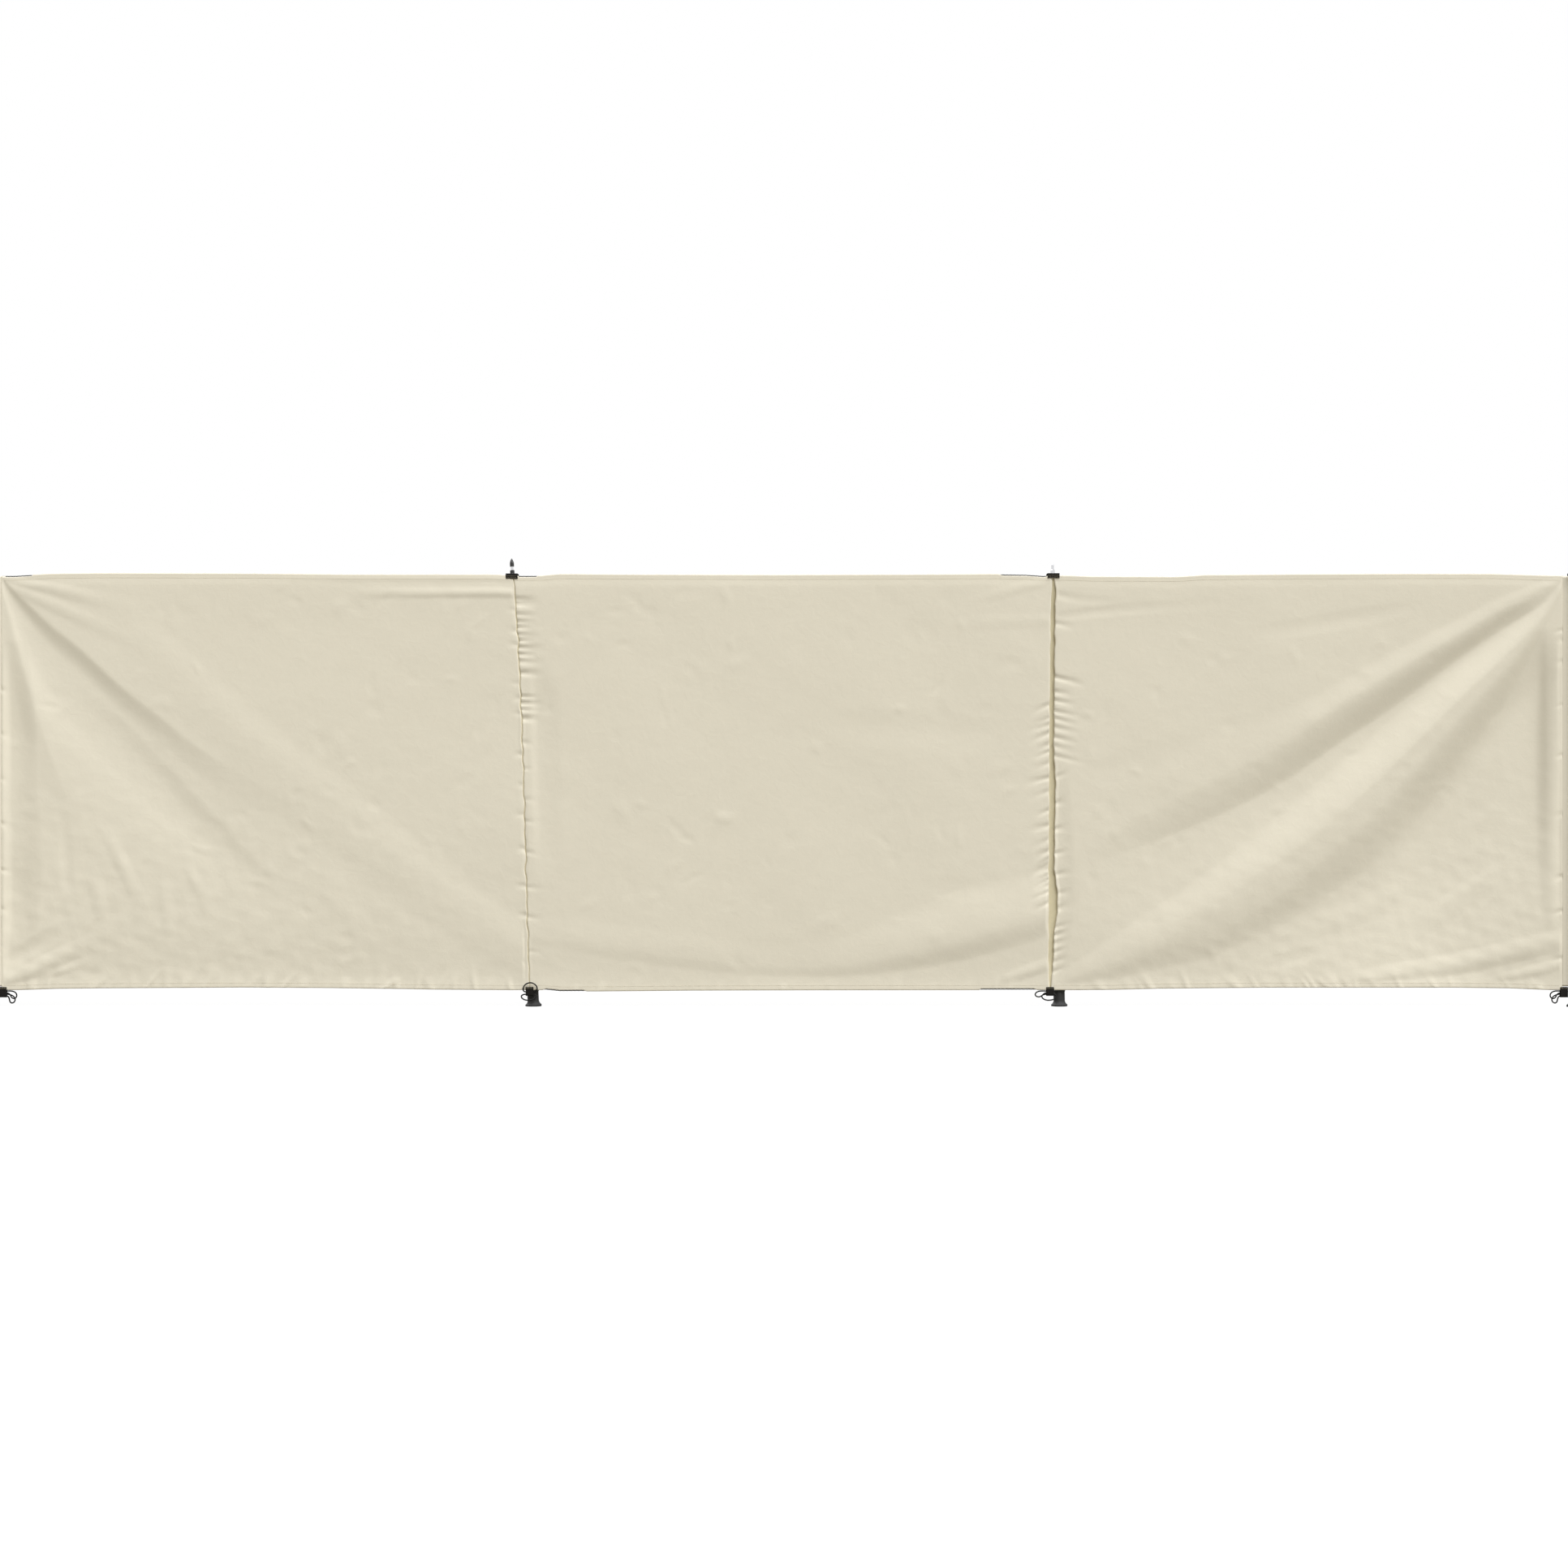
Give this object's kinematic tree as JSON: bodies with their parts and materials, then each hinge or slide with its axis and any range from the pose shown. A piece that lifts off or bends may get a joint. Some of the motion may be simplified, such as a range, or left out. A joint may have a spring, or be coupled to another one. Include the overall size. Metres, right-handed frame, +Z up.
{
  "type": "beach windbreak",
  "caption": "Cream cloth beach windbreak in bays between slim steel poles, with spiked tops, webbing tabs, flared rubber feet and elastic peg loops.",
  "frame": {"origin": "centre of the flat underside of the left end pole's foot, on the ground", "axes": "+X along the cloth to the right end pole, +Y to the back, +Z up"},
  "size_m": [4.636, 0.073, 1.3],
  "materials": {
    "cloth": "matte",
    "webbing": "matte",
    "elastic": "matte",
    "hem_cord": "matte",
    "pole_steel": "satin",
    "spike_steel": "polished",
    "eyelet_metal": "polished",
    "black_plastic": "satin",
    "foot_rubber": "matte"
  },
  "bodies": {
    "root": {"bottom_hem_cords": "hem_cord", "bottom_tab_left_end": "webbing", "bottom_tab_left_inner": "webbing", "bottom_tab_right_end": "webbing", "bottom_tab_right_inner": "webbing", "foot_left_end": "foot_rubber", "foot_left_inner": "foot_rubber", "foot_right_end": "foot_rubber", "foot_right_inner": "foot_rubber", "panel_left": "cloth", "panel_middle": "cloth", "panel_right": "cloth", "peg_loop_lower_left_end": "elastic", "peg_loop_lower_left_inner": "elastic", "peg_loop_lower_right_end": "elastic", "peg_loop_lower_right_inner": "elastic", "peg_loop_upper_left_end": "elastic", "peg_loop_upper_left_inner": "elastic", "peg_loop_upper_right_end": "elastic", "peg_loop_upper_right_inner": "elastic", "pole_left_end": "pole_steel", "pole_left_inner": "pole_steel", "pole_plug_left_end": "black_plastic", "pole_plug_left_inner": "black_plastic", "pole_plug_right_end": "black_plastic", "pole_plug_right_inner": "spike_steel", "pole_right_end": "pole_steel", "pole_right_inner": "pole_steel", "sleeve_left_end": "cloth", "sleeve_left_inner": "cloth", "sleeve_right_end": "cloth", "sleeve_right_inner": "cloth", "spike_cap_left_end": "black_plastic", "spike_cap_left_inner": "black_plastic", "spike_cap_right_end": "black_plastic", "spike_left_end": "spike_steel", "spike_left_inner": "spike_steel", "spike_right_end": "spike_steel", "spike_right_inner": "spike_steel", "top_eyelet_left_end": "eyelet_metal", "top_eyelet_left_inner": "eyelet_metal", "top_eyelet_right_end": "eyelet_metal", "top_eyelet_right_inner": "eyelet_metal", "top_hem_cords": "hem_cord", "top_tab_left_end": "webbing", "top_tab_left_inner": "webbing", "top_tab_right_end": "webbing", "top_tab_right_inner": "webbing"}
  },
  "joints": []
}
